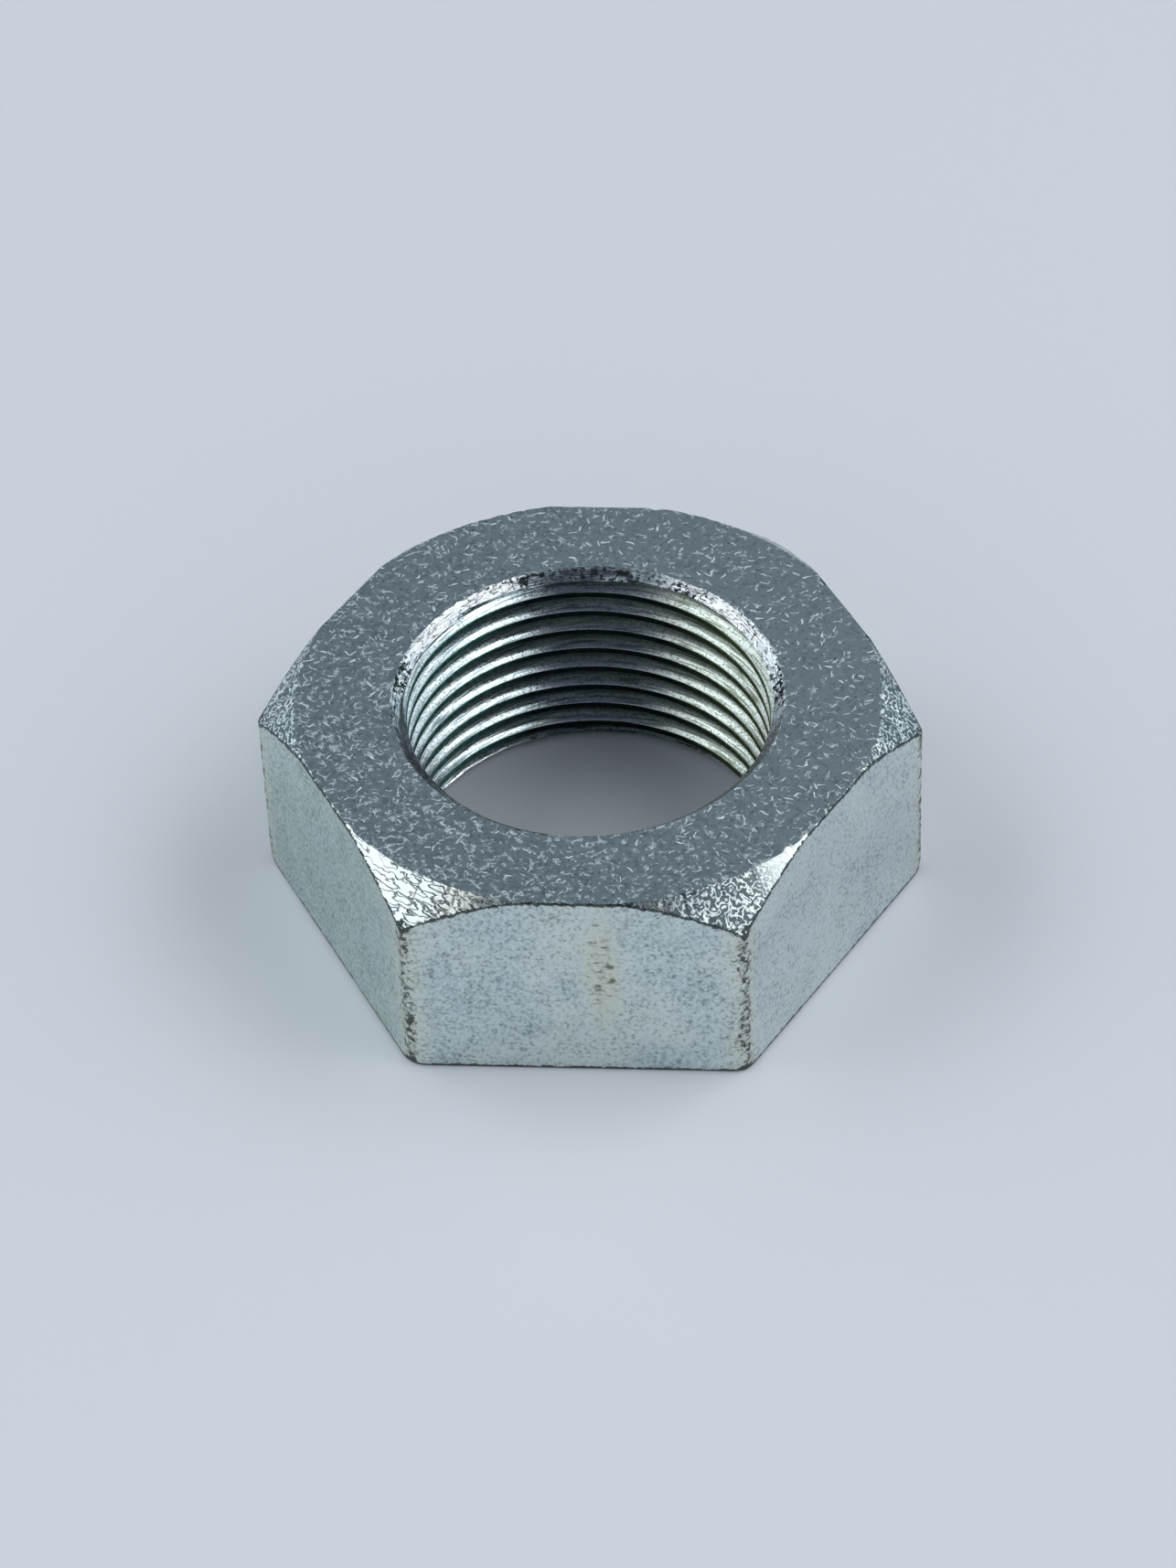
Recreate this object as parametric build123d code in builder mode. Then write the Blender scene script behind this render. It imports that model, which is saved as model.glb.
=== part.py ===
"""Hexagon axle nut: one steel piece, chamfered on one side and tapped right through.

The origin is the centre of the flat bearing face. The thread axis is +Z, towards the chamfered face,
and two opposite flats face along Y.
"""

import os
from math import radians, tan

from build123d import *

# Body, in millimetres: a 1-7/8 in hexagon, 3/4 in high.
inch = 25.4
across_flats = 1.875 * inch
height = 0.75 * inch
corner_round = 0.6  # worn round of the six upright corners
base_edge_break = 0.25  # tumbled edge of the bearing face

# The turned chamfer starts just outside the flats, so the middle of each flat reaches the top face.
chamfer_circle = 1.014 * across_flats
chamfer_fall = 44.5  # degrees below the top face

# Right-hand thread, 1-1/4 in and 12 to the inch, with 60 degree flanks.
thread_major = 1.25 * inch
pitch = inch / 12
flank_slope = tan(radians(30))
crest_radius = 29.86 / 2  # what the tapping drill left
crest_width = 0.275 * pitch
root_radius = thread_major / 2 + 0.1  # the tap cuts a little deeper than the axle's own thread
groove_height_on_x = 0.52  # where the lowest groove crosses the +X side of the bore
lead_angle = 20  # degrees round from +X where the helix begins, clear of the body's corners and flats

countersink_radius = root_radius + 0.2  # 45 degree cone at both mouths
into_bore = 0.3  # how far the cutting profiles reach into the open bore

# The outside of the nut.
with BuildPart() as body:
    # Hexagon bar with two of its corners on the X axis.
    with BuildSketch():
        RegularPolygon(radius=across_flats / 2, side_count=6, major_radius=False)
    extrude(amount=height)
    fillet(body.edges().filter_by(Axis.Z), radius=corner_round)

    # One turned cone takes off the six top corners, and meets the flats in shallow curves.
    with BuildSketch(Plane.XZ):
        with BuildLine():
            top_radius = chamfer_circle / 2
            skirt_radius = 0.6 * across_flats  # clear of the corners
            cone_drop = (skirt_radius - top_radius) * tan(radians(chamfer_fall))
            Polyline(
                (0, 0),
                (skirt_radius, 0),
                (skirt_radius, height - cone_drop),
                (top_radius, height),
                (0, height),
                close=True,
            )
        make_face()
    revolve(axis=Axis.Z, mode=Mode.INTERSECT)

    # The outer edge of the bearing face is barely broken.
    fillet(body.edges().group_by(Axis.Z)[0], radius=base_edge_break)

# The groove that the tap cuts: a trapezium swept along the helix, open towards the axis.
with BuildPart() as groove:
    groove_start = groove_height_on_x + (lead_angle / 360 - 2) * pitch
    groove_turns = round(height / pitch) + 3
    half_mouth = (pitch - crest_width) / 2 + into_bore * flank_slope
    half_root = half_mouth - (root_radius - crest_radius + into_bore) * flank_slope
    with BuildLine() as lead:
        Helix(
            pitch=pitch,
            height=groove_turns * pitch,
            radius=crest_radius,
            center=(0, 0, groove_start),
        )
    with BuildSketch(Plane.XZ):
        with BuildLine():
            Polyline(
                (crest_radius - into_bore, groove_start - half_mouth),
                (root_radius, groove_start - half_root),
                (root_radius, groove_start + half_root),
                (crest_radius - into_bore, groove_start + half_mouth),
                close=True,
            )
        make_face()
    sweep(path=lead.wires()[0], is_frenet=True)

# Drilled and tapped stock, longer than the nut, so that the thread runs clean out of both faces.
with BuildPart() as stock:
    spare = 3 * pitch
    with BuildSketch(Plane.XY.offset(-spare)):
        Circle(radius=across_flats)
        Circle(radius=crest_radius, mode=Mode.SUBTRACT)
    extrude(amount=height + 2 * spare)
    add(groove.part, mode=Mode.SUBTRACT)

with BuildPart() as axle_nut:
    # The stock, turned to where its helix begins and cut down to the hexagon body.
    add(stock.part, rotation=(0, 0, lead_angle))
    add(body.part, mode=Mode.INTERSECT)

    # Countersunk from both faces, which lets the axle's thread start cleanly.
    with BuildSketch(Plane.XZ):
        cone_height = countersink_radius - crest_radius + into_bore
        for mouth_height, inward in ((0, 1), (height, -1)):
            with BuildLine():
                Polyline(
                    (0, mouth_height),
                    (countersink_radius, mouth_height),
                    (crest_radius - into_bore, mouth_height + inward * cone_height),
                    (0, mouth_height + inward * cone_height),
                    close=True,
                )
            make_face()
    revolve(axis=Axis.Z, mode=Mode.SUBTRACT)

axle_nut.part.label = "axle_nut"
os.makedirs("parts", exist_ok=True)
export_step(axle_nut.part, "parts/axle_nut.step")
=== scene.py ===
import math

import bpy
import numpy as np
from mathutils import Matrix, Vector, noise


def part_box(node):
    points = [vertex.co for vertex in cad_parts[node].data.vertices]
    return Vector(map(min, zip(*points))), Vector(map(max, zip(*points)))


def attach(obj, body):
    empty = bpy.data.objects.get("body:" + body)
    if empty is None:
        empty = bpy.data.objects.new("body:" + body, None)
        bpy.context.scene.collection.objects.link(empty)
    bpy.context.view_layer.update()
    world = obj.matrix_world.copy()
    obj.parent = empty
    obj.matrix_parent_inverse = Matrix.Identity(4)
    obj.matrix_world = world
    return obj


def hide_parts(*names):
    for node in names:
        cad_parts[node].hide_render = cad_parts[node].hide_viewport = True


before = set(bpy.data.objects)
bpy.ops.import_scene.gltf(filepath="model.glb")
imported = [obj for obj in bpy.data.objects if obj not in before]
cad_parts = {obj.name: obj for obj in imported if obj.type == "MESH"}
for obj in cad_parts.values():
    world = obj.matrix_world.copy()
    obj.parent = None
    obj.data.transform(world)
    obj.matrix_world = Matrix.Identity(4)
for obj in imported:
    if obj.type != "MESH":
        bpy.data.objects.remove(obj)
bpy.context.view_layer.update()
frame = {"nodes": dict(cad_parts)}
print("frame loaded:", ", ".join(frame["nodes"]))

mm = 0.001
low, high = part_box("axle_nut")
acrossFlats = high.y - low.y
height = high.z - low.z


def linearColour(hexCode):
    # sRGB hex to the linear values that shaders and lights take
    parts = [int(hexCode[i:i + 2], 16) / 255 for i in (1, 3, 5)]
    return tuple(c / 12.92 if c <= 0.04045 else ((c + 0.055) / 1.055) ** 2.4 for c in parts) + (1.0,)


def plug(tree, value, port):
    # an input takes a fixed value, an output, or a node's first output
    if isinstance(value, bpy.types.Node):
        value = next(output for output in value.outputs if output.enabled)
    if isinstance(value, bpy.types.NodeSocket):
        tree.links.new(value, port)
    else:
        port.default_value = value


def addNode(tree, kind, inputs, **settings):
    # one node with its settings, and its inputs by name or by number
    node = tree.nodes.new(kind)
    for name, value in settings.items():
        setattr(node, name, value)
    ports = [port for port in node.inputs if port.enabled]
    for key, value in inputs.items():
        port = ports[key] if isinstance(key, int) else next(p for p in ports if p.name == key)
        plug(tree, value, port)
    return node


# the camera, aimed a little above the middle of the nut's base

camera = {
    "lens": 131.1,  # on a sensor 36 mm tall
    "azimuth": 5.0,
    "elevation": 43.93,
    "roll": -2.5,
    "distance": 481.3 * mm,
    "baseRight": 0.58 * mm,  # the middle of the nut's base, from the middle of the view
    "baseUp": -6.66 * mm,
}


def makeCamera(c):
    az, el, roll = (math.radians(c[k]) for k in ("azimuth", "elevation", "roll"))
    back = Vector((math.sin(az) * math.cos(el), -math.cos(az) * math.cos(el), math.sin(el)))
    level = Vector((math.cos(az), math.sin(az), 0))
    upright = back.cross(level)
    right = level * math.cos(roll) + upright * math.sin(roll)
    up = upright * math.cos(roll) - level * math.sin(roll)
    data = bpy.data.cameras.new("camera")
    data.lens = c["lens"]
    data.sensor_fit = "VERTICAL"
    data.sensor_height = 36.0
    made = bpy.data.objects.new("camera", data)
    bpy.context.collection.objects.link(made)
    made.matrix_world = Matrix((right, up, back)).transposed().to_4x4()
    made.location = back * c["distance"] - right * c["baseRight"] - up * c["baseUp"]
    bpy.context.scene.camera = made


makeCamera(camera)
print("camera placed")

# a plain pale floor

floor = {"size": 3.0, "colour": "#dee2e7", "roughness": 0.6, "specular": 0.25}


def makeFloor(f):
    half = f["size"] / 2
    mesh = bpy.data.meshes.new("floor")
    corners = [(-half, -half, 0), (half, -half, 0), (half, half, 0), (-half, half, 0)]
    mesh.from_pydata(corners, [], [(0, 1, 2, 3)])
    made = bpy.data.objects.new("floor", mesh)
    bpy.context.collection.objects.link(made)
    material = bpy.data.materials.new("matteLaminate")  # a pale table top with hardly any sheen
    material.use_nodes = True
    shader = material.node_tree.nodes["Principled BSDF"]
    shader.inputs["Base Color"].default_value = linearColour(f["colour"])
    shader.inputs["Roughness"].default_value = f["roughness"]
    shader.inputs["Specular IOR Level"].default_value = f["specular"]
    mesh.materials.append(material)


makeFloor(floor)

# large softboxes left and right, a small one high on each side, and a low front fill;
# angles in degrees and sizes in metres
softboxes = {
    "rightSoftbox": {
        "turn": 86, "rise": 38, "size": (1.9, 1.0), "radiance": 0.93, "colour": "#fdfeff",
    },
    "leftSoftbox": {
        "turn": -88, "rise": 36, "size": (1.95, 1.0), "radiance": 0.98, "colour": "#f8fcff",
    },
    "highRightSoftbox": {
        "turn": 76, "rise": 58, "size": (0.72, 0.46), "radiance": 1.9, "colour": "#f6fdfc",
    },
    "highLeftSoftbox": {
        "turn": -80, "rise": 55, "size": (0.60, 0.42), "radiance": 1.5, "colour": "#f6fdfc",
    },
    "frontFill": {
        "turn": 180, "rise": 23, "size": (2.0, 0.5), "radiance": 1.0, "colour": "#fafcff",
    },
}

# a dim surround: bright at the horizon, darker and bluer overhead
surround = {
    "horizon": 0.95,  # strengths
    "middle": 0.20,
    "overhead": 0.11,
    "colour": "#cfe6f8",
    "overheadColour": "#b4bfe8",
    "horizonEnd": 0.35,  # heights, as the sine of the rise
    "overheadFrom": (0.75, 0.95),
    "bluerFrom": (0.6, 0.9),
}


def makeSoftbox(name, s):
    turn, rise = math.radians(s["turn"]), math.radians(s["rise"])  # turn is from straight behind
    away = Vector((math.sin(turn) * math.cos(rise), math.cos(turn) * math.cos(rise), math.sin(rise)))
    data = bpy.data.lights.new(name, "AREA")
    data.shape = "RECTANGLE"
    data.size, data.size_y = s["size"]
    data.energy = s["radiance"] * math.pi * data.size * data.size_y
    data.color = linearColour(s["colour"])[:3]
    made = bpy.data.objects.new(name, data)
    bpy.context.collection.objects.link(made)
    made.location = away  # a metre off
    made.rotation_euler = away.to_track_quat("Z", "Y").to_euler()


def makeSurround(s):
    world = bpy.data.worlds.new("surround")
    bpy.context.scene.world = world
    world.use_nodes = True
    tree = world.node_tree
    tree.nodes.clear()
    coords = addNode(tree, "ShaderNodeTexCoord", {})
    rise = addNode(tree, "ShaderNodeSeparateXYZ", {0: coords.outputs["Generated"]}).outputs["Z"]
    lower = {"Value": rise, "From Max": s["horizonEnd"], "To Min": s["horizon"], "To Max": s["middle"]}
    lower = addNode(tree, "ShaderNodeMapRange", lower, interpolation_type="SMOOTHSTEP")
    start, end = s["overheadFrom"]
    dimmed = s["overhead"] / s["middle"]
    upper = {"Value": rise, "From Min": start, "From Max": end, "To Min": 1.0, "To Max": dimmed}
    upper = addNode(tree, "ShaderNodeMapRange", upper, interpolation_type="SMOOTHSTEP")
    strength = addNode(tree, "ShaderNodeMath", {0: lower, 1: upper}, operation="MULTIPLY")
    start, end = s["bluerFrom"]
    colour = {"Value": rise, "From Min": start, "From Max": end}
    colour = addNode(tree, "ShaderNodeMapRange", colour, interpolation_type="SMOOTHSTEP")
    colour = {"Factor": colour, "A": linearColour(s["colour"]), "B": linearColour(s["overheadColour"])}
    colour = addNode(tree, "ShaderNodeMix", colour, data_type="RGBA")
    background = addNode(tree, "ShaderNodeBackground", {"Color": colour, "Strength": strength})
    addNode(tree, "ShaderNodeOutputWorld", {"Surface": background})


for name, settings in softboxes.items():
    makeSoftbox(name, settings)
makeSurround(surround)
bpy.context.scene.view_settings.view_transform = "Standard"
print("floor and light placed")

# the nut's own form: hexagon, chamfer, threaded bore

body = {
    "cornerRound": 0.6 * mm,
    "chamferRadius": 0.507 * acrossFlats,
    "chamferFall": math.radians(44.5),
    "flatBreak": 0.10 * mm,  # the least bevel, where a flat comes nearest the top face
    "baseBreak": 0.25 * mm,
    "rimWander": 0.36 * mm,  # how far wear pushes the top face's rim about
    "borderWander": 0.12 * mm,
    "cornerDents": 0.10 * mm,
    "dentSize": 0.9 * mm,
    "dentReach": 0.45 * mm,
    "dentEnd": 1.2 * mm,  # further off the dents have faded out
    "baseWear": [wear * mm for wear in (0.15, 0.15, 0.20, 0.15, 0.28, 0.18)],  # corners from +X round
    "baseWearReach": 0.65 * mm,
    "cornerSteps": 8,
    "flatSteps": 100,
    "flatRows": 26,
    # where the rings of points lie, as shares of the way across each surface
    "faceRings": (0.02, 0.05, 0.11, 0.2, 0.3, 0.4, 0.5, 0.6, 0.7, 0.8, 0.88, 0.94, 0.98, 1),
    "chamferRings": (0.08, 0.2, 0.34, 0.48, 0.62, 0.76, 0.9, 0.97, 1),
    "flatTopRings": (0.008, 0.02, 0.045),  # close together, where the flat meets the chamfer
    "bearingRings": (0.04, 0.35, 0.7, 0.96, 1),
    "edgeAngles": (22.5, 45, 67.5, 90),  # round the base edge, in degrees
    "sharpAngle": math.radians(25),  # steeper edges are drawn sharp
}
pitch = 25.4 * mm / 12
thread = {
    "crestRadius": 14.93 * mm,
    "crestWidth": 0.275 * pitch,
    "rootRadius": 15.975 * mm,
    "grooveOnX": 0.52 * mm,  # where the lowest groove crosses +X
    "mouthRadius": 16.175 * mm,  # both countersinks are 45 degree cones
    "flankSlope": math.tan(math.radians(30)),
    "crestRoll": 0.05 * mm,  # rounding of the crest's two edges
    "tornLip": 0.10 * mm,  # how far the countersinks are torn
    "mouthWander": 0.24 * mm,  # and how far their rims wander
    "tears": ((9, 0.5 * mm, 1.0), (40, 0.3 * mm, 0.6)),  # how many to a radian, how tall, how strong
    "tearFade": 0.3 * mm,  # the torn lips end this close to the faces
    "unshadedDepth": 1.25 * mm,  # the painted shade of the grooves is left off this close to each face
    "unshadedFade": 0.2 * mm,
    "tornDepth": 1.15 * mm,  # the topmost groove is torn shut above this depth
    "tornFade": 0.25 * mm,
    "tornRidge": 0.03 * mm,  # what is left of the groove there
    "tornAt": ((113, 7), (171, 8), (62, 9), (8, 10), (88, 12)),  # middles and half widths, degrees
}
# chips out of the top rim: angle round the nut in degrees, half width and depth in mm
chips = ((79.5, 0.35, 0.22), (-79.0, 0.5, 0.16), (-76.5, 0.3, 0.2), (-112, 0.3, 0.12))
chipFall = 0.8  # how far a chip lowers the chamfer, for its depth
# what makes each edge wander: bumps of these sizes, each with its seed and share
ripples = {
    "mouth": ((1.1 * mm, 21, 1.0), (0.35 * mm, 23, 0.8)),
    "rim": ((1.3 * mm, 3, 0.4), (0.55 * mm, 5, 0.9)),
    "border": ((1.7 * mm, 7, 1.0), (0.5 * mm, 9, 0.5)),
}
far = 9.0  # a gap too wide to matter, in mm
sliver = 0.001 * mm  # and one too narrow to be filled
halvings = 25  # steps in the search for each crease


def hexOutline(b):
    # one lap from the +X corner: points, facings and the gap to the nearest corner in mm
    apothem, turn = acrossFlats / 2, b["cornerRound"]
    hubRadius = (apothem - turn) / math.cos(math.radians(30))
    reach = (apothem - turn) * math.tan(math.radians(30))
    arc = turn * math.radians(30)
    points, facings, gaps = [], [], []
    for side in range(6):
        corner = math.radians(60 * side)
        hub = Vector((math.cos(corner), math.sin(corner))) * hubRadius
        for step in range(b["cornerSteps"]):
            share = 2 * step / b["cornerSteps"] - 1
            angle = corner + math.radians(30) * share
            facing = Vector((math.cos(angle), math.sin(angle)))
            points.append(hub + facing * turn)
            facings.append(facing)
            gaps.append(arc * abs(share))
        angle = corner + math.radians(30)
        facing = Vector((math.cos(angle), math.sin(angle)))
        along = Vector((-facing.y, facing.x))
        for step in range(b["flatSteps"]):
            share = 2 * step / b["flatSteps"] - 1
            points.append(facing * apothem + along * reach * share)
            facings.append(facing)
            gaps.append(arc + reach * (1 - abs(share)))
    return np.array(points), np.array(facings), np.array(gaps) / mm


def wander(points, layers):
    # smooth random numbers from 0 to 1 at each point
    made = np.zeros(len(points))
    for size, seed, share in layers:
        made += share * np.array([noise.noise(Vector((x / size, y / size, seed))) for x, y in points])
    return np.clip(made, 0, 1)


def threadSection(t):
    # one pitch of the section: height above the crest's lower edge, radius, and how far the row is kept
    # clear of the painted shade of roots and crests (0 is full painted shade)
    crest, root, slope, roll = (t[k] for k in ("crestRadius", "rootRadius", "flankSlope", "crestRoll"))
    w = t["crestWidth"]
    flank = (root - crest) * slope
    rootTop = pitch - flank
    return [
        (roll, crest, 0.05),
        (w - roll, crest, 0.05),
        (w + roll, crest + roll / slope, 1.0),
        (w + flank * 0.45, crest + flank * 0.45 / slope, 1.0),
        (w + flank * 0.80, crest + flank * 0.80 / slope, 0.75),
        (w + flank, root, 0.55),
        (rootTop, root, 0.0),
        (pitch - flank * 0.5, crest + flank * 0.5 / slope, 1.0),
        (pitch - roll, crest + roll / slope, 0.9),
    ]


class Skin:
    # what the nut's mesh is gathered in
    def __init__(self):
        self.points, self.faces, self.finishes = [], [], []
        names = ("cornerGap", "borderGap", "baseGap", "unshaded", "cone", "crumb")
        self.gaps = {name: [] for name in names}

    def point(self, x, y, z, **gaps):
        self.points.append((x, y, z))
        for name, values in self.gaps.items():
            values.append(gaps.get(name, far if name.endswith("Gap") else 0.0))
        return len(self.points) - 1

    def face(self, corners, finish):
        kept = [c for i, c in enumerate(corners) if c != corners[i - 1]]
        if len(kept) > 2:
            self.faces.append(kept)
            self.finishes.append(finish)

    def strip(self, upper, lower, finish):
        for i in range(len(upper)):
            k = (i + 1) % len(upper)
            self.face((upper[i], lower[i], lower[k], upper[k]), finish)


def makeOutside(skin, b, t):
    # top face, chamfer, flats, base edge and underside, as rings from the top mouth to the bottom mouth
    points, facings, cornerGaps = hexOutline(b)
    rho = np.hypot(points[:, 0], points[:, 1])
    outward = points / rho[:, None]
    mouth = t["mouthRadius"] + t["mouthWander"] * wander(points, ripples["mouth"])
    base, top = np.zeros(len(points)), np.full(len(points), height)

    edge = np.minimum(b["chamferRadius"], rho - b["flatBreak"])
    drop = (rho - edge) * math.tan(b["chamferFall"])
    drop = drop + b["borderWander"] * wander(points, ripples["border"])
    edge = edge - b["rimWander"] * wander(points, ripples["rim"])
    for angle, halfWidth, depth in chips:
        spot = Vector((math.cos(math.radians(angle)), math.sin(math.radians(angle))))
        side = np.abs(outward[:, 0] * spot.y - outward[:, 1] * spot.x) * rho
        chip = depth * mm * np.exp(-(side / (halfWidth * mm)) ** 2) * (outward @ np.array(spot) > 0)
        edge = edge - chip
        drop = drop + chip * chipFall
    slant = np.hypot(rho - edge, drop) / mm

    def ring(radii, heights, **gaps):
        wide = {name: np.broadcast_to(values, len(points)) for name, values in gaps.items()}
        made = []
        for i in range(len(points)):
            x, y = outward[i] * radii[i]
            own = {name: float(values[i]) for name, values in wide.items()}
            made.append(skin.point(x, y, heights[i], cornerGap=cornerGaps[i], **own))
        return made

    rings, finishes = [ring(mouth, top, cone=1.0)], []
    for share in b["faceRings"]:
        rings.append(ring(mouth + (edge - mouth) * share, top))
        finishes.append("face")
    for share in b["chamferRings"]:
        borderGap = slant * (1 - share)
        rings.append(ring(edge + (rho - edge) * share, top - drop * share, borderGap=borderGap))
        finishes.append("chamfer")
    sideTop, sideBase = top - drop, b["baseBreak"]
    nearest = np.round(np.degrees(np.arctan2(points[:, 1], points[:, 0])) / 60).astype(int) % 6
    baseWear = np.array(b["baseWear"])[nearest] * np.exp(-(cornerGaps * mm / b["baseWearReach"]) ** 2)
    shares = list(b["flatTopRings"])
    shares += np.linspace(shares[-1], 0.97, b["flatRows"] + 1)[1:].tolist() + [1]
    close = np.flatnonzero(cornerGaps < b["dentEnd"] / mm)
    fade = np.exp(-(cornerGaps[close] * mm / b["dentReach"]) ** 2)
    for share in shares:
        heights = sideTop + (sideBase - sideTop) * share
        dents = np.zeros(len(points))
        spots = [noise.noise(Vector((*points[i], heights[i])) / b["dentSize"]) for i in close]
        dents[close] = b["cornerDents"] * np.clip(spots, 0, 1) * fade
        dents = dents + baseWear * np.exp(-((heights - sideBase) / b["baseWearReach"]) ** 2)
        gaps = {"borderGap": (sideTop - heights) / mm, "baseGap": (heights - sideBase) / mm}
        rings.append(ring(rho - dents, heights, **gaps))
        finishes.append("flat")
    for angle in b["edgeAngles"]:
        inset = b["baseBreak"] * (1 - math.cos(math.radians(angle)))
        z = b["baseBreak"] * (1 - math.sin(math.radians(angle)))
        inner = points - facings * inset - outward * baseWear[:, None]
        made = [skin.point(*xy, z, cornerGap=gap, baseGap=0.0) for xy, gap in zip(inner, cornerGaps)]
        rings.append(made)
        finishes.append("flat")
    foot = rho - b["baseBreak"] - baseWear
    for share in b["bearingRings"]:
        rings.append(ring(foot + (mouth - foot) * share, base, cone=1.0 if share == 1 else 0.0))
        finishes.append("bearing")
    for upper, lower, finish in zip(rings, rings[1:], finishes):
        skin.strip(upper, lower, finish)
    return outward, rings[0], rings[-1]


def makeBore(skin, t, outward, topMouth, baseMouth):
    # rows that climb with the helix, cut off by the two countersinks
    section = threadSection(t)
    columns, perTurn = len(outward), len(section)
    turns = math.ceil(height / pitch) + 3
    start = t["grooveOnX"] + pitch / 2 - t["crestWidth"] / 2 - 2 * pitch
    rises = [row[0] for row in section] + [section[0][0] + pitch]
    radii = [row[1] for row in section] + [section[0][1]]
    unshadedRows = [row[2] for row in section] + [section[0][2]]
    angles = np.unwrap(np.arctan2(outward[:, 1], outward[:, 0]))

    def threadAt(z, lift):
        rise = (z - lift - rises[0]) % pitch + rises[0]
        return float(np.interp(rise, rises, radii)), float(np.interp(rise, rises, unshadedRows))

    def overCone(z, lift):
        return threadAt(z, lift)[0] - coneAt(z)

    def coneAt(z):
        return t["mouthRadius"] - min(z, height - z)

    grid = []
    for i in range(columns):
        lift = start + pitch * angles[i] / (2 * math.pi)
        heights = [lift + turn * pitch + row[0] for turn in range(turns) for row in section]
        inside = [j for j, z in enumerate(heights) if sliver < z < height - sliver]
        moved = {}
        for j in inside[:-1]:  # the row nearest each crease goes onto it
            below, above = heights[j], heights[j + 1]
            sign = overCone(below, lift)
            if sign * overCone(above, lift) >= 0:
                continue
            for _ in range(halvings):
                middle = (below + above) / 2
                if overCone(middle, lift) * sign > 0:
                    below = middle
                else:
                    above = middle
            moved[j if below - heights[j] < heights[j + 1] - below else j + 1] = below
        column = []
        for j, z in enumerate(heights):
            if j not in inside:
                column.append(baseMouth[i] if z < height / 2 else topMouth[i])
                continue
            z = moved.get(j, z)
            radius, unshaded = threadAt(z, lift)
            cone = coneAt(z)
            onCone = 1.0 if cone > radius - sliver / 10 else 0.0
            x, y = outward[i]
            toFace = min(z, height - z)
            shut = min(max((t["tornDepth"] - height + z) / t["tornFade"], 0.0), 1.0)
            if not onCone and shut:
                radius += shut * (min(radius, cone + t["tornRidge"]) - radius)
                onCone = shut
            elif onCone:
                torn = 0.0
                for n, tall, share in t["tears"]:
                    torn += share * noise.noise(Vector((x * n, y * n, z / tall)))
                radius = cone + t["tornLip"] * max(torn, 0) * min(1, toFace / t["tearFade"])
            # next to each face the grooves get no painted shade
            clearNearFace = (t["unshadedDepth"] - toFace) / t["unshadedFade"]
            unshaded = max(unshaded, min(max(clearNearFace, 0.0), 1.0))
            lap = math.degrees(angles[i]) % 360
            crumb = max(math.exp(-((lap - at) / wide) ** 2) for at, wide in t["tornAt"])
            marks = {"unshaded": unshaded, "cone": onCone, "crumb": crumb}
            column.append(skin.point(x * radius, y * radius, z, **marks))
        grid.append(column)
    for i in range(columns):
        k = (i + 1) % columns
        shift = 0 if k else perTurn
        for j in range(turns * perTurn - 1 - shift):
            corners = (grid[i][j], grid[k][j + shift], grid[k][j + 1 + shift], grid[i][j + 1])
            skin.face(corners, "thread")


def makeNut(b, t):
    skin = Skin()
    outward, topMouth, baseMouth = makeOutside(skin, b, t)
    makeBore(skin, t, outward, topMouth, baseMouth)
    mesh = bpy.data.meshes.new("zincNut")
    mesh.from_pydata(skin.points, [], skin.faces)
    for name, values in skin.gaps.items():
        mesh.attributes.new(name, "FLOAT", "POINT").data.foreach_set("value", values)
    finishes = sorted(set(skin.finishes))
    mesh.polygons.foreach_set("material_index", [finishes.index(f) for f in skin.finishes])
    mesh.polygons.foreach_set("use_smooth", [True] * len(skin.faces))
    mesh.set_sharp_from_angle(angle=b["sharpAngle"])
    print("nut:", len(skin.points), "points,", sum(len(f) - 2 for f in skin.faces), "triangles")
    made = bpy.data.objects.new("zincNut", mesh)
    bpy.context.collection.objects.link(made)
    return made, finishes


nut, finishNames = makeNut(body, thread)


# the finishes: bright zinc plate with a clear passivate, over drawn, sheared and machined steel


def startFinish(name, patterns):
    # a material, its places in mm, and its plain noises, each given as size in mm, detail, roughness
    material = bpy.data.materials.new(name)
    material.use_nodes = True
    tree = material.node_tree
    coords = addNode(tree, "ShaderNodeTexCoord", {}).outputs["Object"]
    place = {"Vector": coords, "Scale": 1 / mm}
    place = addNode(tree, "ShaderNodeVectorMath", place, operation="SCALE")
    noises = {}
    for pattern, (size, detail, rough) in patterns.items():
        inputs = {"Vector": place, "Scale": 1 / size, "Detail": detail, "Roughness": rough}
        noises[pattern] = addNode(tree, "ShaderNodeTexNoise", inputs)
    return material, tree, place, noises


def endFinish(tree, colour, roughness, metallic, bump, depth):
    shader = tree.nodes["Principled BSDF"]
    relief = addNode(tree, "ShaderNodeBump", {"Strength": 1.0, "Distance": depth, "Height": bump})
    inputs = {"Base Color": colour, "Roughness": roughness, "Metallic": metallic, "Normal": relief}
    for name, value in inputs.items():
        plug(tree, value, shader.inputs[name])


def levelLines(tree, pattern):
    # how far a noise is from its middle value, and so nearly 0 along its level lines
    pattern = addNode(tree, "ShaderNodeTexNoise", pattern)
    pattern = addNode(tree, "ShaderNodeMath", {0: pattern, 1: 0.5}, operation="SUBTRACT")
    return addNode(tree, "ShaderNodeMath", {0: pattern}, operation="ABSOLUTE")


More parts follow.
